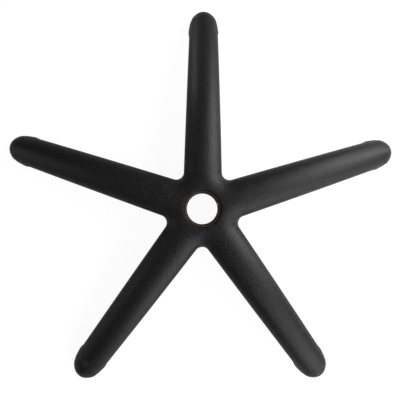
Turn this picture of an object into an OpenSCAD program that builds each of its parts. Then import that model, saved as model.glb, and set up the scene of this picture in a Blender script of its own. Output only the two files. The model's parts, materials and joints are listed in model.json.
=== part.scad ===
// Five arm star base of a swivel chair: a ribbed plastic moulding and the steel sleeve in its hub.
// The origin is on the hub axis, in the plane that the five tips rest on, with +Z up.
// One arm points along +Y.

/* [Star] */
// Diameter of the circle that the five tips touch
overall_d = 635; // [580:5:700]
// Height of the hub's top above the plane of the tips
hub_top_z = 78; // [74:1:88]
// Height of an arm's crest above its caster socket
tip_top_z = 40; // [38:1:46]
// Height of the lower edge of the arms where they leave the hub
root_rim_z = 22; // [18:1:26]
// Height of the lower edge of the arms just before the tip collar
tip_rim_z = 10; // [6:1:12]
// Radius over which the hub's top is level
level_r = 33; // [30:1:45]

/* [Arm outline] */
// Half of an arm's width, as its sides would reach the hub axis
arm_root_half = 30.5; // [28:0.5:33]
// Half of an arm's width just before the tip collar
arm_tip_half = 23.4; // [22:0.2:25]
// Radius of the fillet between two arms
crotch_fillet_r = 10.5; // [6:0.5:14]
// Height of the arched crown, as a share of the arm's half width
arch_share = 0.72; // [0.5:0.02:0.8]

/* [Shell] */
// Thickness of the crown and the side walls
wall = 3.8; // [3:0.2:4.6]
// How far a side wall leans in between its lower edge and its crown
draft = 0.7; // [0.2:0.1:1.2]
// Thickness of the ribs under the arms
rib_t = 2.6; // [2:0.2:3.4]
// How far the ribs stop above the lower edge
rib_recess = 3; // [2:0.5:6]

/* [Tip] */
// Radius of the round nose of the tip collar
nose_r = 22.5; // [20:0.5:23.5]
// How far the collar stands out from the arm's sides
collar_step = 0.8; // [0.4:0.1:1.6]
// Length of the collar's straight sides, from the socket's axis back to the step
collar_back = 12.5; // [10:0.5:18]
// Height of the collar
collar_h = 14; // [11:1:15]
// Diameter of the caster socket
socket_d = 11; // [10:0.5:12]
// Depth of the caster socket
socket_depth = 28; // [24:1:30]
// Outer diameter of the boss around the socket
boss_d = 20; // [18:1:24]

/* [Hub] */
// Outer diameter of the hub's inner tube
tube_d = 62; // [60:1:66]
// Height of the tube's lower end
tube_bottom_z = 20; // [15:1:21]
// Width of the bevel around the mouth of the hub
mouth_bevel = 1; // [0.6:0.2:1.4]

/* [Sleeve] */
// Bore at the top of the sleeve, for a 50 mm column
sleeve_bore_d = 50.2; // [48:0.2:52]
// Thickness of the sleeve's wall
sleeve_wall = 2; // [1.6:0.2:2.4]
// Depth of the sleeve's top below the hub's top
sleeve_recess = 2; // [1.4:0.2:3]
// Length of the straight bore above the taper
land_len = 8; // [6:1:12]
// Length of the tapered seat below it
seat_len = 46; // [40:1:48]
// Loss of diameter along the seat, as a share of its length
taper_share = 0.05; // [0.04:0.005:0.06]
// Width of the bevel on the sleeve's inner edges
sleeve_bevel = 0.6; // [0.4:0.1:0.8]
// Width of the open seam where the rolled sleeve's ends meet
seam_w = 0.6; // [0.4:0.1:1.2]

/* [Hidden] */

// Clearance between the sleeve and the moulding
seat_gap = 0.05;
// How far a cut runs past the face that it opens
overrun = 1;
// Number of arms, and the direction of the first
arm_count = 5;
first_arm = 90;
// The arm whose direction the sleeve's seam follows
seam_arm = 4;
// Crossed pairs of ribs along each arm
rib_bays = 4;

// Divisions of the shell's mesh: across an arm outside and inside it, then along the hub, the
// fillet, the sides and the nose
across_outside = 12;
across_inside = 6;
hub_steps = 4;
fillet_steps = 3;
side_steps = 7;
nose_steps = 5;
// Facets of the round boss and tube inside the shell
boss_facets = 24;
tube_facets = 54;

sector = 360 / arm_count;
half_sector = sector / 2;
tip_x = overall_d / 2 - nose_r;
collar_x = tip_x - collar_back;
collar_half = arm_tip_half + collar_step;
tube_r = tube_d / 2;

// The sleeve's radii and heights
land_r = sleeve_bore_d / 2;
sleeve_top_z = hub_top_z - sleeve_recess;
seat_top_z = sleeve_top_z - land_len;
sleeve_bottom_z = seat_top_z - seat_len;
seat_end_r = land_r - seat_len * taper_share / 2;

// Outline of an arm that lies along +X, on its +Y side
side_angle = atan((arm_root_half - arm_tip_half) / collar_x);
side_dir = [cos(side_angle), -sin(side_angle)];
side_normal = [sin(side_angle), cos(side_angle)];
side_offset = arm_root_half * cos(side_angle);
fillet_dist = (side_offset + crotch_fillet_r) / sin(half_sector + side_angle);
fillet_c = fillet_dist * unit(half_sector);
fillet_from = half_sector + 180;
fillet_to = 270 - side_angle;
fillet_end = fillet_c + crotch_fillet_r * unit(fillet_to);

// The crossed ribs start level with the fillets
ribs_x = fillet_dist;

// The crown's nose is a little smaller than the collar's, and both reach as far out
corner = [collar_x, arm_tip_half];
crown_nose_r = nose_r - collar_step;
crown_nose_c = [tip_x + collar_step, 0];
run_in = tangent_angle(corner, crown_nose_c, crown_nose_r);
run_dir = [cos(run_in), -sin(run_in)];
run_normal = [sin(run_in), cos(run_in)];
nose_start = crown_nose_c + crown_nose_r * run_normal;

function unit(angle) = [cos(angle), sin(angle)];

// Angle by which the line from point p that touches a circle falls towards the axis
function tangent_angle(p, centre, r) =
    let (to = centre - p) atan2(-to.y, to.x) - asin(r / norm(to));

// Half of the arm's width at a distance along it
function arm_half(x) = arm_root_half + (arm_tip_half - arm_root_half) * x / collar_x;

// Height of the crest: level over the hub, then falling away as a parabola
function crest_z(r) =
    let (share = max(0, r - level_r) / (tip_x - level_r))
    hub_top_z - (hub_top_z - tip_top_z) * share * share;

// Height of the lower edge, level under the hub and then straight to the collar
function rim_z(r) =
    let (share = (min(max(r, fillet_end.x), collar_x) - fillet_end.x) / (collar_x - fillet_end.x))
    root_rim_z + (tip_rim_z - root_rim_z) * share;

// Distance from a point of the arm to its outline
function edge_gap(p) =
    (p - fillet_end) * side_dir < 0 ? norm(p - fillet_c) - crotch_fillet_r :
    (p - nose_start) * run_dir > 0 ? crown_nose_r - norm(p - crown_nose_c) :
    min((corner - p) * side_normal, (corner - p) * run_normal);

// Height of an arched crown that springs from the outline set in by inset
function crown_z(r, angle, inset, drop) =
    let (p = r * unit(abs(angle)),
         half = arm_half(p.x) - inset,
         share = min(max((edge_gap(p) - inset) / half, 0), 1))
    crest_z(r) - drop - arch_share * half * (1 - sqrt(share * (2 - share)));

// Outline points of one arm's side, set in by inset: fillet, straight side, run in and nose
function side_outline(inset) =
    let (first = fillet_c + (crotch_fillet_r + inset) * unit(fillet_to),
         turn = corner - inset * (side_normal + run_normal) / (1 + side_normal * run_normal),
         r = crown_nose_r - inset)
    [
        for (i = [0 : fillet_steps - 1])
            fillet_c + (crotch_fillet_r + inset)
                * unit(fillet_from + (fillet_to - fillet_from) * i / fillet_steps),
        for (i = [0 : side_steps]) first + (turn - first) * i / side_steps,
        for (i = [0 : nose_steps - 1]) crown_nose_c + r * unit((90 - run_in) * (1 - i / nose_steps)),
    ];

// Rows of the mesh as [radius, half angle]: rings around the hub, then arcs across the arm
function mesh_rows(inset, inner_r) =
    let (side = side_outline(inset), crotch_r = norm(side[0]))
    [
        for (i = [0 : hub_steps - 1])
            [inner_r + (crotch_r - inner_r) * sin(90 * i / hub_steps), half_sector],
        for (p = side) [norm(p), atan2(p.y, p.x)],
    ];

// A closed body with the star's outline: an arched top and a lower face at lower_z of the radius
module arched_body(inset, lean, inner_r, drop, across, lower_z) {
    // Places across a row of the top are closer together at the edges, where the crown is steep
    upper_shares = [for (j = [0 : across]) -cos(180 * j / across)];
    lower_shares = [for (j = [0 : across]) 2 * j / across - 1];
    upper = mesh_rows(inset + lean, inner_r);
    lower = mesh_rows(inset, inner_r);
    rows = len(upper);
    ring = arm_count * across;
    arm = across + 1;
    arms_from = (hub_steps + 1) * ring;
    noses_from = arms_from + arm_count * (rows - hub_steps - 1) * arm;
    layer = noses_from + arm_count;
    nose_end = crown_nose_c.x + crown_nose_r - inset;

    function at(row, s, j) =
        row <= hub_steps ? row * ring + (s * across + j) % ring
            : arms_from + (s * (rows - hub_steps - 1) + row - hub_steps - 1) * arm + j;
    function place(row, s, share) =
        let (angle = first_arm + s * sector + row[1] * share) row[0] * unit(angle);
    function top(row, s, share) =
        concat(place(row, s, share), crown_z(row[0], row[1] * share, inset + lean, drop));
    function bottom(row, s, share) = concat(place(row, s, share), lower_z(row[0]));

    points = [
        for (k = [0 : hub_steps], s = [0 : arm_count - 1], j = [0 : across - 1])
            top(upper[k], s, upper_shares[j]),
        for (s = [0 : arm_count - 1], k = [hub_steps + 1 : rows - 1], j = [0 : across])
            top(upper[k], s, upper_shares[j]),
        for (s = [0 : arm_count - 1]) top([nose_end - lean, 0], s, 0),
        for (k = [0 : hub_steps], s = [0 : arm_count - 1], j = [0 : across - 1])
            bottom(lower[k], s, lower_shares[j]),
        for (s = [0 : arm_count - 1], k = [hub_steps + 1 : rows - 1], j = [0 : across])
            bottom(lower[k], s, lower_shares[j]),
        for (s = [0 : arm_count - 1]) bottom([nose_end, 0], s, 0),
    ];
    skin = [
        for (s = [0 : arm_count - 1], k = [0 : rows - 2], j = [0 : across - 1])
            let (a = at(k, s, j), b = at(k + 1, s, j), c = at(k + 1, s, j + 1), d = at(k, s, j + 1))
            each (j < across / 2 ? [[a, d, c], [a, c, b]] : [[a, d, b], [d, c, b]]),
        for (s = [0 : arm_count - 1], j = [0 : across - 1])
            [at(rows - 1, s, j), at(rows - 1, s, j + 1), noses_from + s],
    ];
    walls = [
        for (s = [0 : arm_count - 1], k = [hub_steps : rows - 1])
            let (a = at(k, s, 0), b = k < rows - 1 ? at(k + 1, s, 0) : noses_from + s,
                 c = at(k, s, across), d = k < rows - 1 ? at(k + 1, s, across) : noses_from + s)
            each [[a, b, b + layer], [a, b + layer, a + layer], [d, c, c + layer], [d, c + layer, d + layer]],
        for (j = [0 : ring - 1])
            let (a = j, b = (j + 1) % ring)
            each [[b, a, a + layer], [b, a + layer, b + layer]],
    ];
    floor = [for (f = skin) [f[0] + layer, f[2] + layer, f[1] + layer]];
    polyhedron(points, concat(skin, walls, floor), convexity = 10);
}

// Repeats its children on every arm, turned from +X to the arm's own direction
module on_arms(offset_angle = 0) {
    for (s = [0 : arm_count - 1]) rotate(first_arm + s * sector + offset_angle) children();
}

// Solid form of the collar around a caster socket
module tip_collar() {
    centre = [tip_x, 0];
    sweep = 90 - tangent_angle([collar_x, collar_half], centre, nose_r);
    linear_extrude(collar_h)
        polygon([
            [collar_x, -collar_half],
            for (i = [-nose_steps : nose_steps]) centre + nose_r * unit(sweep * i / nose_steps),
            [collar_x, collar_half],
        ]);
}

// A rib of the given length along +X from the origin, tall enough to meet the crown
module rib(length, bottom_z) {
    translate([0, -rib_t / 2, bottom_z]) cube([length, rib_t, hub_top_z]);
}

// A pair of ribs that cross between two places along the arm
module crossed_ribs(x0, x1) {
    half0 = arm_half(x0);
    half1 = arm_half(x1);
    angle = atan2(half0 + half1, x1 - x0);
    for (side = [-1, 1])
        translate([x0, side * half0, 0])
            rotate(-side * angle) rib(norm([x1 - x0, half0 + half1]), rim_z((x0 + x1) / 2) + rib_recess);
}

// Ribs, boss and closing wall under one arm
module arm_ribs() {
    bay = (collar_x - ribs_x) / rib_bays;
    for (i = [0 : rib_bays - 1])
        crossed_ribs(ribs_x + i * bay, ribs_x + (i + 1) * bay);
    rib(ribs_x + bay / 2, root_rim_z + rib_recess);
    translate([collar_x, 0, 0]) rib(overall_d / 2 - collar_x - wall, tip_rim_z);
    translate([collar_x, -arm_tip_half, 0]) cube([wall, 2 * arm_tip_half, hub_top_z]);
    translate([tip_x, 0, 0]) cylinder(d = boss_d, h = hub_top_z, $fn = boss_facets);
}

// Hollow under the star, with its ribs left standing
module underside() {
    difference() {
        arched_body(wall, 0, land_r, wall, across_inside, function (r) -overrun);
        cylinder(r = tube_r, h = hub_top_z, $fn = tube_facets);
        on_arms() arm_ribs();
        on_arms(half_sector) rib(fillet_dist, root_rim_z + rib_recess);
    }
}

// The ribbed shell before its round holes are cut
module ribbed_shell() {
    difference() {
        union() {
            arched_body(0, draft, land_r / 2, 0, across_outside, function (r) rim_z(r));
            translate([0, 0, tube_bottom_z])
                cylinder(r = tube_r, h = hub_top_z - tube_bottom_z - wall, $fn = tube_facets);
            on_arms() tip_collar();
        }
        underside();
    }
}

// Hole through the hub: the sleeve's outer form with its clearance, open at both ends
module hub_bore() {
    growth = sleeve_wall + seat_gap;
    rotate_extrude()
        polygon([
            [0, -overrun],
            [seat_end_r + growth, -overrun],
            [seat_end_r + growth, sleeve_bottom_z],
            [land_r + growth, seat_top_z],
            [land_r + growth, hub_top_z - mouth_bevel],
            [land_r + growth + mouth_bevel + overrun, hub_top_z + overrun],
            [0, hub_top_z + overrun],
        ]);
}

module caster_socket() {
    translate([tip_x, 0, -overrun]) cylinder(d = socket_d, h = socket_depth + overrun);
}

// The shell is one closed skin of its full height, and its round holes are true cylinders and a cone
module star_moulding() {
    color("#2b2b2d")
        difference() {
            resize([0, 0, hub_top_z]) ribbed_shell();
            hub_bore();
            on_arms() caster_socket();
        }
}

module hub_sleeve() {
    color("#6f6862")
        difference() {
            rotate_extrude()
                polygon([
                    [seat_end_r + sleeve_bevel, sleeve_bottom_z],
                    [seat_end_r + sleeve_wall, sleeve_bottom_z],
                    [land_r + sleeve_wall, seat_top_z],
                    [land_r + sleeve_wall, sleeve_top_z],
                    [land_r + sleeve_bevel, sleeve_top_z],
                    [land_r, sleeve_top_z - sleeve_bevel],
                    [land_r, seat_top_z],
                    [seat_end_r + sleeve_bevel * taper_share / 2, sleeve_bottom_z + sleeve_bevel],
                ]);
            rotate(first_arm + seam_arm * sector)
                translate([0, -seam_w / 2, 0]) cube([land_r + sleeve_wall + overrun, seam_w, hub_top_z]);
        }
}

star_moulding();
hub_sleeve();
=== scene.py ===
# %% [markdown]
# The object is the five arm star base of a swivel chair, photographed from straight above.
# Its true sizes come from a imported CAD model, which is loaded here as a fixed frame. Everything that
# the lesson makes is placed against that frame, in metres, with +Z up and one arm along +Y.

# %% Load the frame
import json
from math import asin, atan, atan2, cos, hypot, pi, radians, sin, sqrt

import bmesh
import bpy
from bmesh.types import BMEdge, BMVert
from mathutils import Euler, Matrix, Vector


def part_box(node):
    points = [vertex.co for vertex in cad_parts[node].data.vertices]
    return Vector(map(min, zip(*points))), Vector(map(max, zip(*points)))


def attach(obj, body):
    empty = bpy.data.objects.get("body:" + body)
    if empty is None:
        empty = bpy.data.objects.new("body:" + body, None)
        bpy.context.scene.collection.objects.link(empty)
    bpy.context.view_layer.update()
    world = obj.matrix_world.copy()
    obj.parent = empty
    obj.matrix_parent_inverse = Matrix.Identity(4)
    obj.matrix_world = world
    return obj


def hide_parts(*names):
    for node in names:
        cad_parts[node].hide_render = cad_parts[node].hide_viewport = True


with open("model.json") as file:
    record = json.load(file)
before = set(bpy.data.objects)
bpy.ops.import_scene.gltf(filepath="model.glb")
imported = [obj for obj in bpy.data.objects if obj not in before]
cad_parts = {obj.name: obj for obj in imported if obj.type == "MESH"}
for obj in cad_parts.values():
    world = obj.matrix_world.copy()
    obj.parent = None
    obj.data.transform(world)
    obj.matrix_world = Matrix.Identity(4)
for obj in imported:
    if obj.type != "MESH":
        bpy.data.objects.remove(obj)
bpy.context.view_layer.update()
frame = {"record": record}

# %% [markdown]
# The sizes that other parts mate with are read from the frame, so that they can't drift from the CAD
# model: the bore of the steel sleeve, the ring of caster sockets and the height of the hub.

# %% Sizes from the frame
mm = 0.001
mounts = {m["name"]: m for m in frame["record"]["mounts"]}
land_r = mounts["hub_bore"]["dims"]["r_mm"] * mm
tip_x = mounts["caster_sockets"]["dims"]["pcd_mm"] / 2 * mm
socket_r = mounts["caster_sockets"]["dims"]["hole_r_mm"] * mm
hub_top_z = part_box("star_moulding")[1].z
print("bore", land_r, "sockets at", tip_x, "hub top", hub_top_z)

# %% [markdown]
# A real moulding is drawn from a handful of numbers, so the lesson states them once and works the
# rest out. Halves are used for widths, because one side of an arm mirrors the other.

# %% Sizes of the moulding
arm_count = 5
first_arm = radians(90)
half_sector = pi / arm_count
tip_top_z = 40 * mm
root_rim_z = 22 * mm
tip_rim_z = 10 * mm
level_r = 33 * mm
arm_root_half = 30.5 * mm
arm_tip_half = 23.4 * mm
crotch_r = 10.5 * mm
arch_share = 0.72
wall = 3.8 * mm
draft = 0.7 * mm
nose_r = 22.5 * mm
collar_step = 0.8 * mm
collar_x = tip_x - 12.5 * mm
print(arm_count, "arms, from", 2 * arm_root_half, "wide at the hub to", 2 * arm_tip_half, "at the collar")

# %% [markdown]
# Seen from above, each side of an arm is a fillet out of the hub, a long straight line that narrows
# a little, a short run in and a round nose. Knowing that outline as a few lines and arcs is better
# than pushing points about by eye, because the height of the crown can be worked out from the
# distance to it.

# %% Outline of an arm that lies along +X
def unit(angle):
    """Direction in plan at an angle from +X"""
    return Vector((cos(angle), sin(angle)))


side_angle = atan((arm_root_half - arm_tip_half) / collar_x)
side_dir = unit(-side_angle)
side_normal = unit(pi / 2 - side_angle)
fillet_dist = (arm_root_half * cos(side_angle) + crotch_r) / sin(half_sector + side_angle)
fillet_centre = fillet_dist * unit(half_sector)
fillet_end = fillet_centre - crotch_r * side_normal
corner = Vector((collar_x, arm_tip_half))
crown_nose_r = nose_r - collar_step
crown_nose = Vector((tip_x + collar_step, 0))
to_nose = crown_nose - corner
run_in = atan2(-to_nose.y, to_nose.x) - asin(crown_nose_r / to_nose.length)
run_dir = unit(-run_in)
run_normal = unit(pi / 2 - run_in)
nose_start = crown_nose + crown_nose_r * run_normal
print("fillet centre", fillet_centre, "nose starts at", nose_start)

# %% [markdown]
# How far a point lies inside that outline is found stretch by stretch. Where the straight side meets
# the run in, the smaller of the two distances would do for the outline, but it would leave a crease in
# the gloss, so they are blended over a few millimetres.

# %% Distance to the outline
blend_share = 0.8
blend_reach = 2.2 * mm
tiny = 1e-6


def on_nose(p):
    """Whether a point of the arm lies in the round nose"""
    return (p - nose_start).dot(run_dir) > 0


def edge_gap(p):
    """Distance from a point of the arm to its outline"""
    if (p - fillet_end).dot(side_dir) < 0:
        return (p - fillet_centre).length - crotch_r
    if on_nose(p):
        return crown_nose_r - (p - crown_nose).length
    gaps = [(corner - p).dot(side_normal), (corner - p).dot(run_normal)]
    low = min(gaps)
    reach = min(blend_share * max(low, tiny), blend_reach)
    share = max(0, 1 - abs(gaps[0] - gaps[1]) / reach)
    return low - reach * share * share / 4


print("from the crest to the side at the collar", edge_gap(Vector((collar_x, 0))))

# %% [markdown]
# The crest is level over the hub and falls away as a parabola. Across the arm the crown is arched like
# half an ellipse. Towards the tip the arch draws in to a soft ridge, which runs far out over the nose
# before it is rounded off, because in the photograph the stripes of light and dark reach that far.

# %% Crest and arch
ridge_start, ridge_full = 195 * mm, 285 * mm
ridge_most = 0.4
ridge_round = 0.25
nose_blunt = 2.3


def arm_half(x):
    """Half of the arm's width at a distance along it"""
    return arm_root_half + (arm_tip_half - arm_root_half) * x / collar_x


def crest_z(r):
    """Height of the crest at a radius"""
    share = max(0, r - level_r) / (tip_x - level_r)
    return hub_top_z - (hub_top_z - tip_top_z) * share * share


def way_across(p, half, inset):
    """Share of the way from the crest to the outline"""
    if not on_nose(p):
        return 1 - min(max((edge_gap(p) - inset) / half, 0), 1)
    out = p - crown_nose
    share = min(out.length / (crown_nose_r - inset), 1)
    turn = atan2(out.y, out.x) * pi / (pi - 2 * run_in)
    ahead = max(cos(turn), 0)
    return hypot(share * sin(turn), (share * ahead) ** nose_blunt) / hypot(sin(turn), ahead ** nose_blunt)


def fall(across, r):
    """Fall of the crown across the arm, from 0 at the crest to 1 at the outline"""
    arch = 1 - sqrt(1 - across * across)
    gable = (hypot(across, ridge_round) - ridge_round) / (hypot(1, ridge_round) - ridge_round)
    shoulder = 1 - sqrt(1 - across ** 4)
    way = min(max((r - ridge_start) / (ridge_full - ridge_start), 0), 1)
    return arch + ridge_most * way * way * (3 - 2 * way) * ((gable + shoulder) / 2 - arch)


print("fall halfway across, at the hub", fall(0.5, level_r), "and over the socket", fall(0.5, tip_x))

# %% [markdown]
# Crest and arch together give the height of the crown anywhere. The lower edge of the walls is
# simpler: it falls evenly from the hub to the collar.

# %% Heights over the plan
def crown_z(p, inset=draft, drop=0):
    """Height of the crown over a point of the arm"""
    half = arm_half(p.x) - inset
    return crest_z(p.length) - drop - arch_share * half * fall(way_across(p, half, inset), p.length)


def rim_z(r):
    """Height of the lower edge of the arm's walls at a radius"""
    share = (min(max(r, fillet_end.x), collar_x) - fillet_end.x) / (collar_x - fillet_end.x)
    return root_rim_z + (tip_rim_z - root_rim_z) * share


print("crown over the socket", crown_z(Vector((tip_x, 0))), "rim at the collar", rim_z(collar_x))

# %% [markdown]
# A grid of faces is the easiest thing to shape with such heights. Its rows become arcs around the
# hub's axis: first rings across the hub, then rows that run down the arm to the nose. These are the
# radius and the half angle of each row, from the mouth of the hub to the tip.

# %% Rows of the skin
hub_steps, fillet_steps, side_steps, run_steps, nose_steps = 6, 12, 58, 6, 16
sleeve_wall = 2 * mm
seat_gap = 0.05 * mm
hole_r = land_r + sleeve_wall + seat_gap
ring_margin = 1.2 * mm


def side_points():
    """Points of the crown's outline from the crotch to the tip"""
    first = fillet_centre - (crotch_r + draft) * side_normal
    turn = corner - draft * (side_normal + run_normal) / (1 + side_normal.dot(run_normal))
    last = crown_nose + (crown_nose_r - draft) * run_normal
    points = []
    for i in range(fillet_steps):
        angle = half_sector + pi + (pi / 2 - side_angle - half_sector) * i / fillet_steps
        points.append(fillet_centre + (crotch_r + draft) * unit(angle))
    points += [first.lerp(turn, i / side_steps) for i in range(side_steps)]
    points += [turn.lerp(last, i / run_steps) for i in range(run_steps)]
    for i in range(nose_steps + 1):
        angle = (pi / 2 - run_in) * (1 - i / nose_steps)
        points.append(crown_nose + (crown_nose_r - draft) * unit(angle))
    return points


rows = [(p.length, atan2(p.y, p.x)) for p in side_points()]
first_ring = hole_r + wall + ring_margin
rings = [hole_r] + [first_ring + (rows[0][0] - first_ring) * i / hub_steps for i in range(hub_steps)]
rows = [(r, half_sector) for r in rings] + rows
print(len(rows), "rows from", rows[0], "to", rows[-1])

# %% [markdown]
# The crown could be subdivided from a rough cage, but that would pull it off the heights worked out
# above, so a fine grid takes them as they are. One half of one arm is enough: it is mirrored across
# the arm and spun round the hub in five copies, whose edges are merged. Columns are closer together
# where the crown turns down, because an ellipse needs its points there.

# %% Skin of the star
columns = 22
bunching = 0.7
middle_weld = 1e-7
arm_weld = 2e-6


def turn_to_arm(bm):
    """Turns what was made along +X to the first arm, and copies it to the others"""
    bmesh.ops.rotate(bm, verts=bm.verts[:], cent=(0, 0, 0), matrix=Matrix.Rotation(first_arm, 3, "Z"))
    bmesh.ops.spin(
        bm, geom=bm.verts[:] + bm.edges[:] + bm.faces[:], cent=(0, 0, 0), axis=(0, 0, 1),
        angle=2 * half_sector * (arm_count - 1), steps=arm_count - 1, use_duplicate=True,
    )


skin = bmesh.new()
bmesh.ops.create_grid(skin, x_segments=columns, y_segments=len(rows) - 1, size=1)
for v in skin.verts:
    column = round((v.co.x + 1) / 2 * columns)
    row = round((v.co.y + 1) / 2 * (len(rows) - 1))
    r, half_angle = rows[row]
    bunched = bunching * min(max((r - hole_r) / (rows[len(rings)][0] - hole_r), 0), 1)
    share = bunched * cos(pi / 2 * column / columns) + (1 - bunched) * (1 - column / columns)
    p = r * unit(half_angle * share)
    v.co = (p.x, p.y, crown_z(p))
half_arm = skin.verts[:] + skin.edges[:] + skin.faces[:]
bmesh.ops.mirror(skin, geom=half_arm, matrix=Matrix(), merge_dist=middle_weld, axis="Y")
turn_to_arm(skin)
bmesh.ops.remove_doubles(skin, verts=skin.verts[:], dist=arm_weld)
bmesh.ops.dissolve_degenerate(skin, edges=skin.edges[:], dist=tiny)
open_edges = [e for e in skin.edges if e.is_boundary]
print("skin:", len(skin.faces), "faces,", len(open_edges), "open edges")

# %% [markdown]
# The side walls go down from the outline to the rim and lean out by the draft that lets the
# moulding leave its tool. Extruding the open edges keeps the wall joined to the crown. The way out
# at each point is the direction in which the distance to the outline falls.

# %% Side walls
probe = 0.01 * mm
wall_steps = 3


def own_arm(co):
    """The point in plan, as it would lie on the +Y side of an arm along +X"""
    angle = (atan2(co.y, co.x) - first_arm + half_sector) % (2 * half_sector) - half_sector
    return co.xy.length * unit(abs(angle))


def way_out(co):
    """Direction in plan from a point straight out of the star"""
    slope = [
        edge_gap(own_arm(co + s)) - edge_gap(own_arm(co - s))
        for s in (Vector((probe, 0, 0)), Vector((0, probe, 0)))
    ]
    return -Vector((slope[0], slope[1], 0)).normalized()


def made(result, kind):
    """The new elements of one kind that an operator returned"""
    return [g for g in result["geom"] if isinstance(g, kind)]


edge_ring = [e for e in open_edges if e.verts[0].co.xy.length > first_ring]
for left in range(wall_steps, 0, -1):
    result = bmesh.ops.extrude_edge_only(skin, edges=edge_ring)
    for v in made(result, BMVert):
        v.co += way_out(v.co) * draft / wall_steps
        v.co.z += (rim_z(v.co.xy.length) - v.co.z) / left
    edge_ring = [e for e in made(result, BMEdge) if e.is_boundary]
rim_heights = [e.verts[0].co.z for e in edge_ring]
print("rim from", min(rim_heights), "to", max(rim_heights))

# %% [markdown]
# The same is done at the hole, where the tube that holds the sleeve goes down in three stages: a
# straight length, the taper of the seat and a short open end. A cylinder set into the hub would look
# alike from above, but a tube drawn from the crown is one skin with it, as in the real moulding.

# %% Tube in the hub
sleeve_recess = 2 * mm
land_len = 8 * mm
seat_len = 46 * mm
taper_share = 0.05
tube_bottom_z = 20 * mm
sleeve_top_z = hub_top_z - sleeve_recess
seat_top_z = sleeve_top_z - land_len
sleeve_bottom_z = seat_top_z - seat_len
seat_end_r = land_r - seat_len * taper_share / 2
tube_end_r = seat_end_r + sleeve_wall + seat_gap
hole_ring = [e for e in skin.edges if e.is_boundary and e.verts[0].co.xy.length < first_ring]
for r, z in ((hole_r, seat_top_z), (tube_end_r, sleeve_bottom_z), (tube_end_r, tube_bottom_z)):
    result = bmesh.ops.extrude_edge_only(skin, edges=hole_ring)
    for v in made(result, BMVert):
        way = v.co.xy.normalized() * r
        v.co = (way.x, way.y, z)
    hole_ring = [e for e in made(result, BMEdge) if e.is_boundary]
print("tube down to", tube_bottom_z, "with a radius of", tube_end_r)

# %% [markdown]
# The whole skin is now given its thickness at once, inwards, as a moulding has one wall all over.
# The normals have to point out of the top before that, or the wall would grow outwards.

# %% Thickness
bmesh.ops.recalc_face_normals(skin, faces=skin.faces[:])
top_face = max(skin.faces, key=lambda f: f.calc_center_median().z)
if top_face.normal.z < 0:
    bmesh.ops.reverse_faces(skin, faces=skin.faces[:])
bmesh.ops.solidify(skin, geom=skin.faces[:], thickness=wall)
skin.normal_update()
print("shell:", len(skin.faces), "faces, lowest", min(v.co.z for v in skin.verts))

# %% [markdown]
# No moulded edge is sharp. The edges that stand out around the mouth of the hub and along the rim are
# found by their angle and rounded off a little, which gives each of them its fine line of light.

# %% Rounded edges of the shell
sharp_turn = radians(50)
mouth_round = 0.7 * mm
mouth_reach = 0.5 * mm
lip_round = 0.5 * mm
lip_reach = 1 * mm


def soften(bm, edges, width, segments=2):
    """Rounds off edges"""
    return bmesh.ops.bevel(
        bm, geom=edges, offset=width, offset_type="OFFSET", segments=segments, profile=0.5,
        affect="EDGES", clamp_overlap=True, material=-1,
    )


def sharp(edge):
    """Whether an edge stands out by more than the sharp turn"""
    return len(edge.link_faces) == 2 and edge.calc_face_angle_signed() > sharp_turn


mouth = [
    e for e in skin.edges
    if sharp(e) and all(abs(v.co.z - hub_top_z) < mouth_reach for v in e.verts)
]
soften(skin, mouth, mouth_round, segments=3)
lips = [e for e in skin.edges if sharp(e) and max(v.co.z for v in e.verts) < root_rim_z + lip_reach]
soften(skin, lips, lip_round)
print("rounded", len(mouth), "mouth edges and", len(lips), "lip edges")

# %% [markdown]
# Under the arms, crossed ribs keep the thin shell from folding when somebody sits down. The
# photograph doesn't show them, but a view from below does. Each rib is a strip that is set on edge,
# reaches up into the thickness of the crown, and is given its own thickness.

# %% Crossed ribs
rib_t = 2.6 * mm
rib_recess = 3 * mm
rib_round = 0.4 * mm
crossings = 4
fittings = bmesh.new()


def rib(start, end, bottom, thickness=rib_t, steps=10):
    """A rib under the crown between two points in plan of the arm along +X"""
    strip = bmesh.ops.create_grid(fittings, x_segments=steps, y_segments=1, size=1)["verts"]
    for v in strip:
        p = start.lerp(end, (v.co.x + 1) / 2)
        own = Vector((p.x, abs(p.y)))
        v.co = (p.x, p.y, bottom if v.co.y < 0 else crown_z(own, draft + wall / 2, wall / 2))
    faces = list({f for v in strip for f in v.link_faces})
    bmesh.ops.recalc_face_normals(fittings, faces=faces)
    bmesh.ops.translate(fittings, verts=strip, vec=faces[0].normal * thickness / 2)
    slab = made(bmesh.ops.solidify(fittings, geom=faces, thickness=thickness), BMVert) + strip
    fittings.normal_update()
    low = {e for v in slab if abs(v.co.z - bottom) < tiny for e in v.link_edges}
    low = [e for e in low if sharp(e) and all(abs(v.co.z - bottom) < tiny for v in e.verts)]
    soften(fittings, low, rib_round, segments=1)


bay = (collar_x - fillet_dist) / crossings
for i in range(crossings):
    x0, x1 = fillet_dist + i * bay, fillet_dist + (i + 1) * bay
    for side in (-1, 1):
        start, end = Vector((x0, side * arm_half(x0))), Vector((x1, -side * arm_half(x1)))
        slope = atan2(abs(end.y - start.y), x1 - x0)
        trim = (end - start).normalized() * (wall / 2 + draft) / sin(slope)
        rib(start + trim, end - trim, rim_z((x0 + x1) / 2) + rib_recess)
print("crossed ribs:", len(fittings.faces), "faces")

# %% [markdown]
# Straight ribs tie the hub's tube to the arm and to the crotch beside it, and a short one ties the
# boss of the caster socket to the nose. A closing wall stands across the arm where the collar
# begins.

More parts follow.
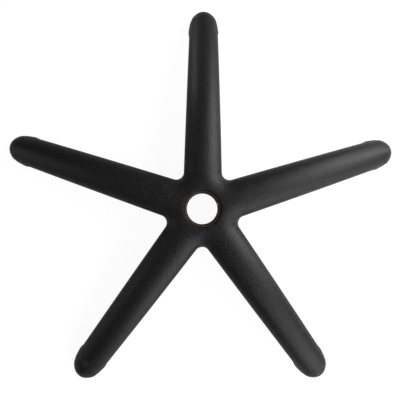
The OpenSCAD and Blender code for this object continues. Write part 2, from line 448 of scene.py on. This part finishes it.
# %% Straight ribs and the closing wall
tube_r = 31 * mm
tube_bite = 1.5 * mm
boss_r = 10 * mm
boss_bite = 1 * mm
closing_bottom = 1 * mm
closing_t = wall - 0.4 * mm
tube_side = tube_r - tube_bite
crotch_x = fillet_dist - crotch_r - draft - wall / 2
nose_x = tip_x + nose_r - wall / 2 - draft
rib(Vector((tube_side, 0)), Vector((fillet_dist + bay / 2, 0)), root_rim_z + rib_recess)
rib(tube_side * unit(half_sector), crotch_x * unit(half_sector), root_rim_z + rib_recess)
rib(Vector((tip_x + boss_r - boss_bite, 0)), Vector((nose_x, 0)), tip_rim_z, steps=4)
closing_x = collar_x + wall / 2
closing_half = arm_tip_half - wall / 2 - draft
rib(
    Vector((closing_x, -closing_half)), Vector((closing_x, closing_half)), closing_bottom,
    thickness=closing_t, steps=24,
)
print("with straight ribs:", len(fittings.faces), "faces")

# %% [markdown]
# A caster's stem is pushed up into a round socket. Its boss is a turned shape, so a profile of a few
# points is spun round the socket's axis. The ring at the top is then lifted into the crown, which
# slopes there.

# %% Boss around the socket
boss_top = 36 * mm
boss_round = 0.4 * mm
socket_depth = 28 * mm
socket_bevel = 0.6 * mm


def spun(bm, points, centre, steps, angle=2 * pi, start=0):
    """A profile of radius and height, spun round an upright axis; returns its vertices"""
    before = set(bm.verts)
    turn = Matrix.Rotation(start, 3, "Z")
    verts = [bm.verts.new(Vector(centre) + turn @ Vector((r, 0, z))) for r, z in points]
    edges = [bm.edges.new(pair) for pair in zip(verts, verts[1:])]
    bmesh.ops.spin(
        bm, geom=verts + edges, cent=centre, axis=(0, 0, 1), angle=angle, steps=steps,
        use_merge=angle >= 2 * pi,
    )
    new = [v for v in bm.verts if v not in before]
    bmesh.ops.remove_doubles(bm, verts=new, dist=tiny)
    return [v for v in bm.verts if v not in before]


profile = [
    (0, socket_depth), (socket_r, socket_depth), (socket_r, socket_bevel), (socket_r + socket_bevel, 0),
    (boss_r - boss_round, 0), (boss_r, boss_round), (boss_r, boss_top), (0, boss_top),
]
boss = spun(fittings, profile, (tip_x, 0, 0), steps=40)
for v in boss:
    if abs(v.co.z - boss_top) < tiny:
        v.co.z = crown_z(Vector((v.co.x, abs(v.co.y))), draft, wall / 2)
bmesh.ops.recalc_face_normals(fittings, faces=list({f for v in boss for f in v.link_faces}))
print("boss:", len(boss), "vertices")

# %% [markdown]
# Round each tip the lower edge thickens to a collar that stands a little proud of the arm. In the
# photograph it shows as a small slanted step on each side. A point spun round an upright axis gives
# the nose, and points extruded from its ends give the sides, which come out of the arm at a shoulder.

# %% Outline of the tip collar
collar_extra = 0.4 * mm
shoulder_back = 4.8 * mm
shoulder_step = 1.0 * mm
collar_r = nose_r + collar_extra
centre = Vector((tip_x - collar_extra, 0, 0))
shoulder = Vector((collar_x + shoulder_back, arm_tip_half + shoulder_step))
back = Vector((collar_x, arm_tip_half - collar_step))
to_centre = centre.xy - shoulder
sweep = pi / 2 - (atan2(-to_centre.y, to_centre.x) - asin(collar_r / to_centre.length))
collar = bmesh.new()
point = collar.verts.new(centre + collar_r * unit(-sweep).to_3d())
bmesh.ops.spin(collar, geom=[point], cent=centre, axis=(0, 0, 1), angle=2 * sweep, steps=40)
collar.verts.ensure_lookup_table()
ends = [v for v in collar.verts if len(v.link_edges) == 1]
for stop in (shoulder, back):
    ends = bmesh.ops.extrude_vert_indiv(collar, verts=ends)["verts"]
    for v in ends:
        v.co = (stop.x, stop.y if v.co.y > 0 else -stop.y, 0)
collar.edges.new(ends)
print("collar:", len(collar.edges), "edges, nose reaches", max(v.co.x for v in collar.verts))

# %% [markdown]
# The outline is filled, inset to a ring and extruded up. Its level edges, on top and on the ground,
# are rounded off like the rim.

# %% Tip collar
collar_h = 14 * mm
collar_wall = 5 * mm
bmesh.ops.contextual_create(collar, geom=collar.edges[:])
bmesh.ops.inset_region(
    collar, faces=collar.faces[:], thickness=collar_wall, use_boundary=True, use_even_offset=True,
)
inner = min(collar.faces, key=lambda f: (f.calc_center_median().xy - centre.xy).length)
bmesh.ops.delete(collar, geom=[inner], context="FACES_ONLY")
result = bmesh.ops.extrude_face_region(collar, geom=collar.faces[:])
bmesh.ops.translate(collar, verts=made(result, BMVert), vec=(0, 0, collar_h))
bmesh.ops.recalc_face_normals(collar, faces=collar.faces[:])
collar.normal_update()
level = [e for e in collar.edges if sharp(e) and abs(e.verts[0].co.z - e.verts[1].co.z) < tiny]
soften(collar, level, lip_round)
bmesh.ops.delete(collar, geom=[e for e in collar.edges if e.is_wire], context="EDGES")
print("collar:", len(collar.faces), "faces, top at", max(v.co.z for v in collar.verts))

# %% [markdown]
# The ribs, boss and collar of one arm are joined, copied to the five arms and put into one mesh with
# the shell, because the real base is a single moulding. Smooth shading is kept off the corners by
# marking each edge that turns by more than 40 degrees as sharp.

# %% One moulding
crease_turn = radians(40)


def join(bm, other):
    """Adds a bmesh to another, and frees it"""
    mesh = bpy.data.meshes.new("joined")
    other.to_mesh(mesh)
    bm.from_mesh(mesh)
    bpy.data.meshes.remove(mesh)
    other.free()


def piece(name, bm, node):
    """Makes a finished piece that stands for a node of the frame"""
    bm.normal_update()
    for f in bm.faces:
        f.smooth = True
    for e in bm.edges:
        e.smooth = len(e.link_faces) == 2 and e.calc_face_angle(pi) < crease_turn
    mesh = bpy.data.meshes.new(name)
    bm.to_mesh(mesh)
    open_count = sum(e.is_boundary or not e.is_manifold for e in bm.edges)
    bm.free()
    obj = bpy.data.objects.new(name, mesh)
    bpy.context.scene.collection.objects.link(obj)
    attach(obj, "root")
    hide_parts(node)
    print(name, len(mesh.polygons), "faces, open edges", open_count)
    return obj


join(fittings, collar)
turn_to_arm(fittings)
join(skin, fittings)
star = piece("star", skin, "star_moulding")

# %% [markdown]
# The sleeve is rolled from steel strip, so it has a fine seam where its ends meet, in line with the
# arm on the right. Its top edge is beveled on the outside, which leaves the dark groove that shows
# round it in the photograph. Spinning its section gives the bevels, the straight bore and the taper
# in one go, and stopping just short of a full turn leaves the seam, whose two ends are then closed.

# %% Steel sleeve
bevel = 0.6 * mm
bevel_mid = 0.3 * bevel
outer_bevel = 1.2 * mm
foot_bevel = 0.3 * mm
seam_w = 0.6 * mm
seam_arm = 4
profile = [
    (seat_end_r + bevel, sleeve_bottom_z),
    (seat_end_r + sleeve_wall - foot_bevel, sleeve_bottom_z),
    (seat_end_r + sleeve_wall, sleeve_bottom_z + foot_bevel),
    (land_r + sleeve_wall, seat_top_z),
    (land_r + sleeve_wall, sleeve_top_z - outer_bevel),
    (land_r + sleeve_wall - outer_bevel, sleeve_top_z),
    (land_r + bevel, sleeve_top_z),
    (land_r + bevel_mid, sleeve_top_z - bevel_mid),
    (land_r, sleeve_top_z - bevel),
    (land_r, seat_top_z),
    (seat_end_r, sleeve_bottom_z + bevel),
]
profile.append(profile[0])
seam_at = first_arm + seam_arm * 2 * half_sector
slit = asin(seam_w / 2 / land_r)
sleeve_bm = bmesh.new()
spun(sleeve_bm, profile, (0, 0, 0), steps=160, angle=2 * pi - 2 * slit, start=seam_at + slit)
bmesh.ops.holes_fill(sleeve_bm, edges=[e for e in sleeve_bm.edges if e.is_boundary], sides=0)
bmesh.ops.recalc_face_normals(sleeve_bm, faces=sleeve_bm.faces[:])
sleeve = piece("sleeve", sleeve_bm, "hub_sleeve")

# %% [markdown]
# The base is black glass filled nylon with a fine matte grain. A grain this small can't be modelled,
# so noise textures will colour and bump the surface: one of about two millimetres for the grain, a
# wider one that mottles it, and a very wide one that changes the gloss. They read Object coordinates,
# so the pattern is fixed to the part.

# %% Noise over the nylon
def finish(name):
    """A new material with its nodes, its shader and Object coordinates"""
    material = bpy.data.materials.new(name)
    material.use_nodes = True
    nodes = material.node_tree.nodes
    place = nodes.new("ShaderNodeTexCoord")
    return material, nodes, material.node_tree.links, nodes["Principled BSDF"], place.outputs["Object"]


def noise(nodes, links, place, scale, detail=3.0, stretch=None):
    """Value of a noise texture; stretch gives each axis a scale of its own"""
    if stretch:
        mapping = nodes.new("ShaderNodeMapping")
        mapping.inputs["Scale"].default_value = stretch
        links.new(place, mapping.inputs["Vector"])
        place = mapping.outputs["Vector"]
    texture = nodes.new("ShaderNodeTexNoise")
    texture.inputs["Scale"].default_value = scale
    texture.inputs["Detail"].default_value = detail
    texture.inputs["Roughness"].default_value = 0.6
    links.new(place, texture.inputs["Vector"])
    return texture.outputs["Fac"]


nylon, nodes, links, shader, place = finish("grained black nylon")
cloudy = noise(nodes, links, place, scale=55, detail=4.0)
mottle = noise(nodes, links, place, scale=260)
grain = noise(nodes, links, place, scale=460)
star.data.materials.append(nylon)
print(nylon.name, "has", len(nodes), "nodes so far")

# %% [markdown]
# The tip of the arm at the lower left gets a painted highlight: a faint, pale, mottled patch in its
# colour where light catches it.
# It could be painted on an unwrapped mesh, but a soft patch needs less: the distance to its middle fades
# in a little of the mottled noise, which later lifts the colour.

# %% Painted highlight on a tip
highlight_place = (-173.5 * mm, -231 * mm, 41 * mm)
highlight_inner, highlight_outer = 2 * mm, 8 * mm
highlight_most = 0.7


def fade(nodes, links, value, near, far, first, last):
    """A value between near and far, spread evenly from first to last"""
    node = nodes.new("ShaderNodeMapRange")
    node.inputs["From Min"].default_value = near
    node.inputs["From Max"].default_value = far
    node.inputs["To Min"].default_value = first
    node.inputs["To Max"].default_value = last
    links.new(value, node.inputs["Value"])
    return node.outputs["Result"]


def calc(nodes, links, operation, first, second):
    """Result of a Math node on two outputs or plain numbers"""
    node = nodes.new("ShaderNodeMath")
    node.operation = operation
    for socket, value in zip(node.inputs, (first, second)):
        if isinstance(value, (int, float)):
            socket.default_value = value
        else:
            links.new(value, socket)
    return node.outputs["Value"]


to_highlight = nodes.new("ShaderNodeVectorMath")
to_highlight.operation = "DISTANCE"
to_highlight.inputs[1].default_value = highlight_place
links.new(place, to_highlight.inputs[0])
# Painted highlight: near its middle the patch fades in the mottled noise, which is added to the colour.
highlight_spot = fade(nodes, links, to_highlight.outputs["Value"], highlight_inner, highlight_outer, highlight_most, 0)
painted_highlight = calc(nodes, links, "MULTIPLY", highlight_spot, mottle)
print("painted highlight of", 2 * highlight_outer, "m at", highlight_place)

# %% [markdown]
# The grain picks the colour from near black to a dark grey, and the painted highlight pushes it further
# up the ramp. The same noises bump the surface, the fine one over the wide one, so that the gloss breaks
# up as it does on a real moulding.

# %% Black nylon
noise_low, noise_high = 0.3, 0.7


def ramp(nodes, links, value, stops):
    """Colours between stops of position and colour"""
    node = nodes.new("ShaderNodeValToRGB")
    node.color_ramp.elements[0].position, node.color_ramp.elements[0].color = stops[0]
    node.color_ramp.elements[1].position, node.color_ramp.elements[1].color = stops[-1]
    for position, colour in stops[1:-1]:
        node.color_ramp.elements.new(position).color = colour
    links.new(value, node.inputs["Fac"])
    return node.outputs["Color"]


def bump(nodes, links, height, strength, distance, normal=None):
    """Normal bumped by a height"""
    node = nodes.new("ShaderNodeBump")
    node.inputs["Strength"].default_value = strength
    node.inputs["Distance"].default_value = distance
    links.new(height, node.inputs["Height"])
    if normal:
        links.new(normal, node.inputs["Normal"])
    return node.outputs["Normal"]


# The colour ramp reads the grain plus the painted highlight on the lower left tip.
tone = ramp(nodes, links, calc(nodes, links, "ADD", grain, painted_highlight), [
    (noise_low, (0.007, 0.007, 0.007, 1)),
    (noise_high, (0.021, 0.021, 0.0215, 1)),
    (1.0, (0.05, 0.05, 0.05, 1)),
])
gloss = fade(nodes, links, cloudy, noise_low, noise_high, 0.35, 0.42)
mottled = bump(nodes, links, mottle, strength=0.4, distance=0.25 * mm)
grained = bump(nodes, links, grain, strength=1.0, distance=0.45 * mm, normal=mottled)
links.new(tone, shader.inputs["Base Color"])
links.new(gloss, shader.inputs["Roughness"])
links.new(grained, shader.inputs["Normal"])
shader.inputs["Specular IOR Level"].default_value = 0.2
print(nylon.name, len(nodes), "nodes")

# %% [markdown]
# The sleeve is dull rolled steel with a warm tint. The marks of rolling run round it, so the noise is
# squeezed along Z to make fine level lines, and wider patches change its colour a little.

# %% Rolled steel
steel, nodes, links, shader, place = finish("dull rolled steel")
lines = noise(nodes, links, place, scale=60, stretch=(1, 1, 30))
patches = noise(nodes, links, place, scale=45)
tone = ramp(nodes, links, patches, [
    (noise_low, (0.070, 0.058, 0.050, 1)),
    (noise_high, (0.125, 0.104, 0.090, 1)),
])
links.new(tone, shader.inputs["Base Color"])
links.new(fade(nodes, links, lines, noise_low, noise_high, 0.62, 0.82), shader.inputs["Roughness"])
links.new(bump(nodes, links, lines, strength=0.25, distance=0.05 * mm), shader.inputs["Normal"])
shader.inputs["Metallic"].default_value = 1.0
sleeve.data.materials.append(steel)
print(steel.name, len(nodes), "nodes")

# %% [markdown]
# The photograph has a plain white ground, so a wide floor lies under the base. It isn't part of the
# object.

# %% Floor
floor_half = 6
floor_bm = bmesh.new()
bmesh.ops.create_grid(floor_bm, x_segments=1, y_segments=1, size=floor_half)
floor_mesh = bpy.data.meshes.new("floor")
floor_bm.to_mesh(floor_mesh)
floor_bm.free()
floor = bpy.data.objects.new("floor", floor_mesh)
bpy.context.scene.collection.objects.link(floor)
print("floor:", floor.dimensions.x, "m wide")

# %% [markdown]
# The floor is pale where light falls on it, and Light Path tells the shader when the camera looks at
# it: then most of its white is its own, so it stays white in the picture, and a faint shadow of the
# base is left on it. Reflections and glass see a share of that white, over the floor as it is lit, so
# the edges over the shadow stay dark as in the photograph. The camera sees through the floor from
# below, so that the ribs can be looked at as well.

# %% Pale ground
white_in_gloss = 0.2


def mixed(nodes, links, share, first, second):
    """One shader where the share is 0 and another where it is 1"""
    node = nodes.new("ShaderNodeMixShader")
    links.new(share, node.inputs["Fac"])
    links.new(first, node.inputs[1])
    links.new(second, node.inputs[2])
    return node.outputs["Shader"]


def looked_at(nodes, links):
    """1 for rays from the camera, and a share for rays from a reflection or through glass"""
    rays = nodes.new("ShaderNodeLightPath").outputs
    gloss = calc(nodes, links, "MAXIMUM", rays["Is Glossy Ray"], rays["Is Transmission Ray"])
    return rays["Is Camera Ray"], calc(nodes, links, "MULTIPLY", gloss, white_in_gloss)


ground, nodes, links, shader, place = finish("pale floor")
shader.inputs["Base Color"].default_value = (0.6, 0.6, 0.6, 1)
shader.inputs["Roughness"].default_value = 0.9
shade = nodes.new("ShaderNodeBsdfDiffuse")
shade.inputs["Color"].default_value = (0.12, 0.12, 0.12, 1)
glow = nodes.new("ShaderNodeEmission")
glow.inputs["Strength"].default_value = 0.95
both = nodes.new("ShaderNodeAddShader")
links.new(shade.outputs["BSDF"], both.inputs[0])
links.new(glow.outputs["Emission"], both.inputs[1])
by_camera, by_gloss = looked_at(nodes, links)
share = calc(nodes, links, "MAXIMUM", by_camera, by_gloss)
above = mixed(nodes, links, share, shader.outputs["BSDF"], both.outputs["Shader"])
backfacing = nodes.new("ShaderNodeNewGeometry").outputs["Backfacing"]
below = calc(nodes, links, "MULTIPLY", backfacing, by_camera)
clear = nodes.new("ShaderNodeBsdfTransparent")
surface = mixed(nodes, links, below, above, clear.outputs["BSDF"])
links.new(surface, nodes["Material Output"].inputs["Surface"])
floor.data.materials.append(ground)
print(ground.name, len(nodes), "nodes")

# %% [markdown]
# The photograph was lit from one side, with little light from straight above: every crest is dark,
# the flanks that face right are bright, and the left arm is nearly black. Three small lamps stand near
# the base on the right, so their light falls off towards the left, and a wide one stands at the lower
# right. A weak one on the left keeps that side from going black, and a narrow cone of light reaches
# the end of the top arm only, whose left flank is light. Light adds up, so the powers were found by
# rendering one lamp at a time and weighing those pictures against the photograph.

# %% Lamps
def hang(light, place, target=(0, 0, 0)):
    """Puts a lamp in the scene at a place, so that it looks at a target"""
    obj = bpy.data.objects.new(light.name, light)
    obj.location = place
    obj.rotation_euler = (Vector(place) - Vector(target)).to_track_quat("Z", "Y").to_euler()
    bpy.context.scene.collection.objects.link(obj)
    return obj


def lamp(name, azimuth, elevation, power, size, distance):
    """A square soft lamp that looks at the hub from an azimuth and elevation in degrees"""
    light = bpy.data.lights.new(name, "AREA")
    light.size = size
    light.energy = power
    side = distance * cos(radians(elevation)) * unit(radians(azimuth))
    return hang(light, (side.x, side.y, distance * sin(radians(elevation))))


near, far = 0.9, 1.6
lamp("high right lamp", azimuth=15, elevation=45, power=3.9, size=0.5, distance=near)
lamp("upper right lamp", azimuth=40, elevation=30, power=3.2, size=0.4, distance=near)
lamp("low right lamp", azimuth=20, elevation=20, power=2.2, size=0.4, distance=near)
lamp("wide lower right lamp", azimuth=-50, elevation=28, power=23.5, size=1.6, distance=far)
lamp("weak left lamp", azimuth=180, elevation=25, power=3.2, size=1.0, distance=far)
cone = bpy.data.lights.new("narrow left lamp", "SPOT")
cone.energy = 9.6
cone.spot_size = radians(24)
cone.spot_blend = 1
cone.shadow_soft_size = 0.1
hang(cone, place=(-0.5, 0.6, 0.35), target=(0, 0.28, 0.04))
print("lamps:", sorted(light.name for light in bpy.data.lights))

# %% [markdown]
# The room itself gives a little even light. To the camera it is nearly as white as the floor, so the
# ground hardly has a horizon from the side. Reflections and glass see that white too, but only as high
# as a low wall round the floor would stand, because the room over the base is dark in the photograph.

# %% Room
wall_low, wall_high = 0.2, 0.35
world = bpy.data.worlds.new("studio")
world.use_nodes = True
nodes, links = world.node_tree.nodes, world.node_tree.links
room = nodes["Background"]
room.inputs["Color"].default_value = (1, 1, 1, 1)
room.inputs["Strength"].default_value = 0.02
white = nodes.new("ShaderNodeBackground")
white.inputs["Color"].default_value = (1, 1, 1, 1)
white.inputs["Strength"].default_value = 0.96
way_up = nodes.new("ShaderNodeSeparateXYZ")
links.new(nodes.new("ShaderNodeTexCoord").outputs["Generated"], way_up.inputs["Vector"])
wall_share = fade(nodes, links, way_up.outputs["Z"], wall_low, wall_high, 1, 0)
by_camera, by_gloss = looked_at(nodes, links)
low_gloss = calc(nodes, links, "MULTIPLY", by_gloss, wall_share)
share = calc(nodes, links, "MAXIMUM", by_camera, low_gloss)
surface = mixed(nodes, links, share, room.outputs["Background"], white.outputs["Background"])
links.new(surface, nodes["World Output"].inputs["Surface"])
bpy.context.scene.world = world
print(world.name, len(nodes), "nodes")

# %% [markdown]
# The camera looks straight down. Its place, its slight turn and its lens were worked out from the
# five tips and the two rims of the hole in the photograph, in pixels of its 400 pixel frame.

# %% Camera
frame_px = 400
film_mm = 36
focal_px = 398.5
shift_px = (-4.46, -10.39)
camera_place = (-11.66 * mm, 1.0 * mm, 650 * mm)
camera_turn = (radians(2.670), radians(-1.399), radians(0.446))
lens = bpy.data.cameras.new("camera")
lens.sensor_width = film_mm
lens.lens = focal_px / frame_px * film_mm
lens.shift_x = shift_px[0] / frame_px
lens.shift_y = shift_px[1] / frame_px
lens.clip_start = 0.01
camera = bpy.data.objects.new("camera", lens)
camera.location = camera_place
camera.rotation_euler = Euler(camera_turn, "XYZ")
bpy.context.scene.collection.objects.link(camera)
bpy.context.scene.camera = camera
bpy.context.scene.view_settings.view_transform = "Standard"
print("camera at", camera.location, "lens", lens.lens)
